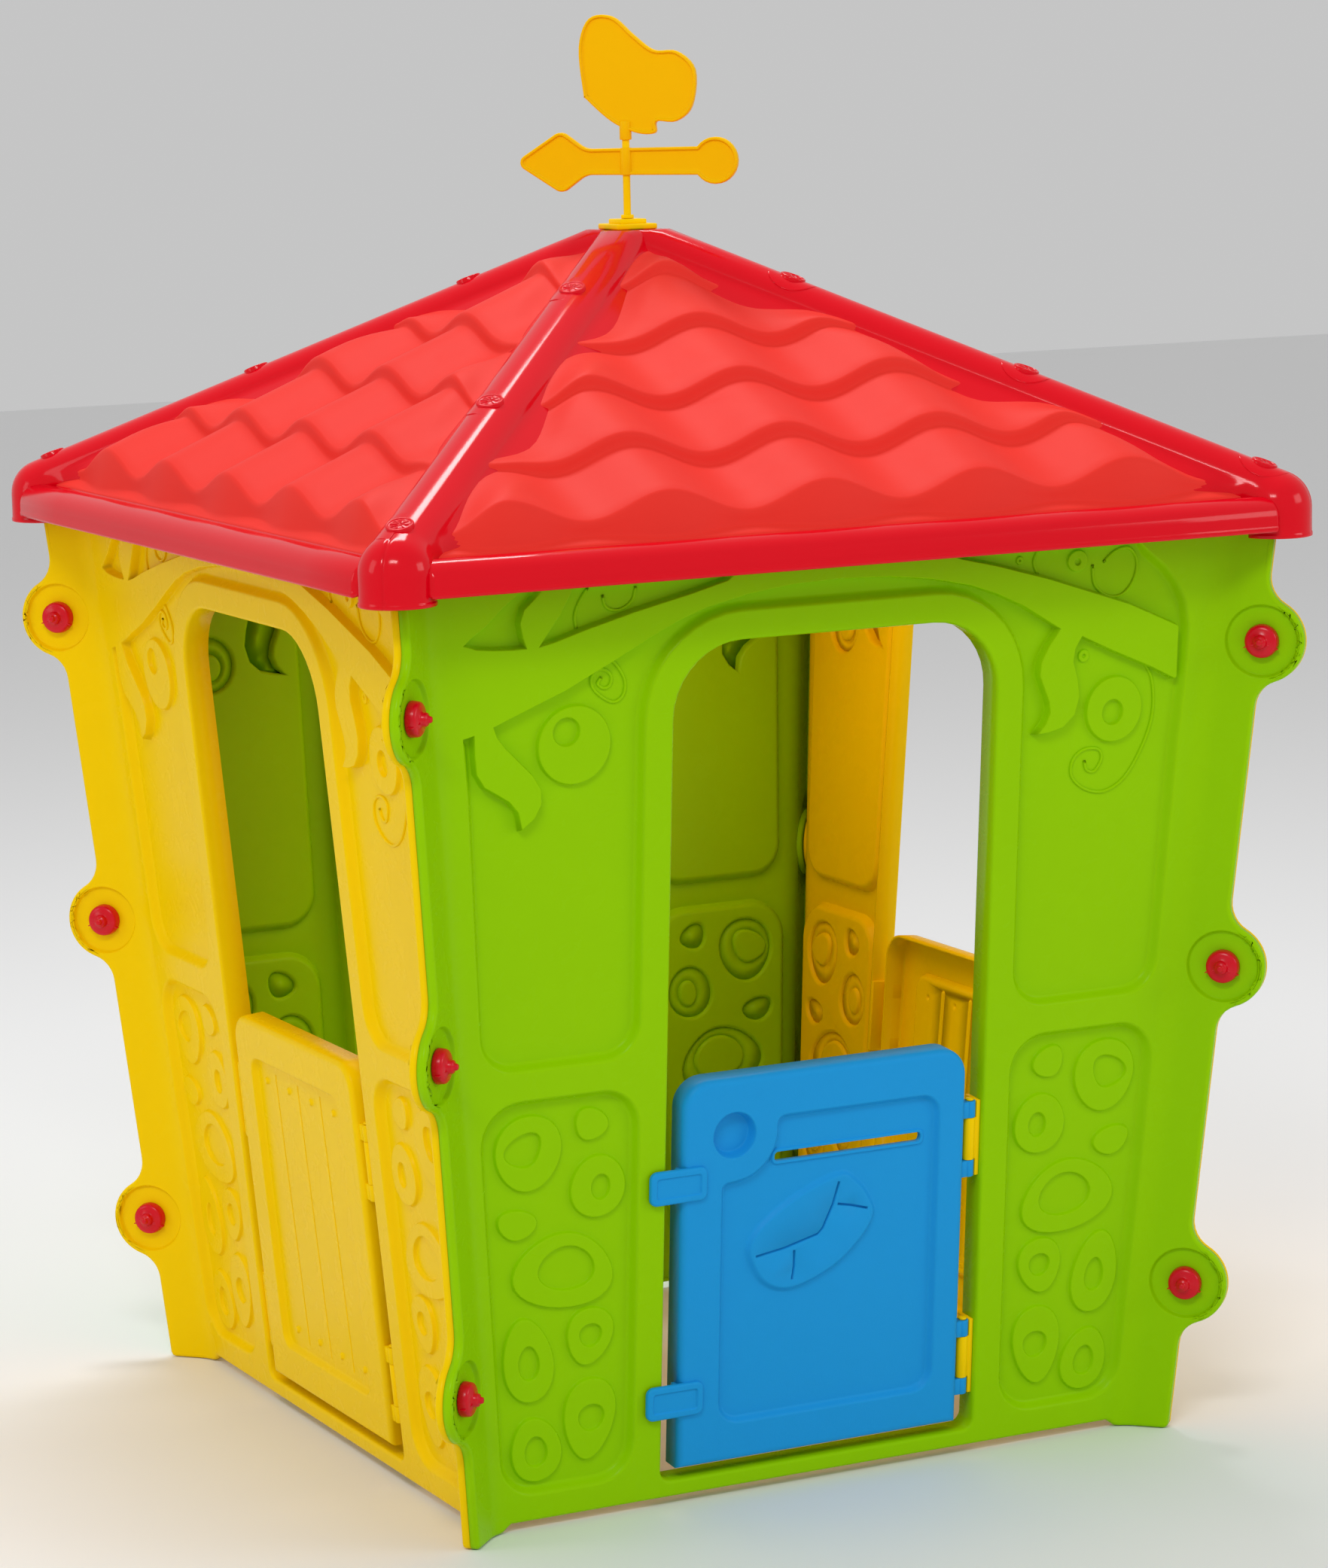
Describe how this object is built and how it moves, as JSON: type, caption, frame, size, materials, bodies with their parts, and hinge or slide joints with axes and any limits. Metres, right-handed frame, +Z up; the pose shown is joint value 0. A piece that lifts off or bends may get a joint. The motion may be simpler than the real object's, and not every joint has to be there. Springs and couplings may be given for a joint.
{
  "type": "plastic playhouse",
  "caption": "Moulded garden playhouse: leaning wall panels bolted at the corners, hipped tile roof, half-height swinging door, half-height infills and a turning weathervane.",
  "frame": {"origin": "centre of the footprint at ground level", "axes": "+Z up, the doorway wall faces -Y, +X to the right seen from the front"},
  "size_m": [1.0716, 1.0716, 1.5186],
  "materials": {
    "green_wall": "satin-gloss moulded lime green polyethylene",
    "yellow_wall": "satin-gloss moulded yellow polyethylene",
    "blue_door": "fine-grained moulded mid blue",
    "yellow_clip": "glossy injection-moulded yellow",
    "red_fastener": "glossy injection-moulded red",
    "red_roof": "glossy moulded red",
    "red_tile": "fine-textured matte red",
    "amber_vane": "satin amber yellow"
  },
  "bodies": {
    "house": {"wall_front": "green_wall", "wall_right": "yellow_wall", "wall_back": "green_wall", "wall_left": "yellow_wall", "door_hinge_clips": "yellow_clip", "door_hinge_pins": "yellow_clip", "infill_right": "yellow_wall", "infill_back": "green_wall", "infill_left": "yellow_wall", "infill_clips_right": "yellow_clip", "infill_clips_back": "yellow_clip", "infill_clips_left": "yellow_clip", "infill_pins_right": "yellow_clip", "infill_pins_back": "yellow_clip", "infill_pins_left": "yellow_clip", "corner_bolts_front_left": "red_fastener", "corner_bolts_front_right": "red_fastener", "corner_bolts_back_right": "red_fastener", "corner_bolts_back_left": "red_fastener", "knob_nuts_front_left": "red_fastener", "knob_nuts_front_right": "red_fastener", "knob_nuts_back_right": "red_fastener", "knob_nuts_back_left": "red_fastener", "roof_front": "red_roof", "roof_right": "red_roof", "roof_back": "red_roof", "roof_left": "red_roof", "roof_plugs_front_left": "red_tile", "roof_plugs_front_right": "red_tile", "roof_plugs_back_right": "red_tile", "roof_plugs_back_left": "red_tile", "vane_base": "yellow_clip"},
    "door": {"door": "blue_door"},
    "vane": {"vane_pole": "yellow_clip", "vane_arrow": "amber_vane", "vane_butterfly": "amber_vane"}
  },
  "joints": [
    {"name": "door_hinge", "type": "hinge", "parent": "house", "child": "door", "pos_m": [0.173, -0.39522, 0.22784], "axis": [0, -0.0859, 0.9963], "range_deg": [0, 90]},
    {"name": "vane_spin", "type": "hinge", "parent": "house", "child": "vane", "pos_m": [0, 0, 1.35], "axis": [0, 0, 1], "continuous": true}
  ]
}
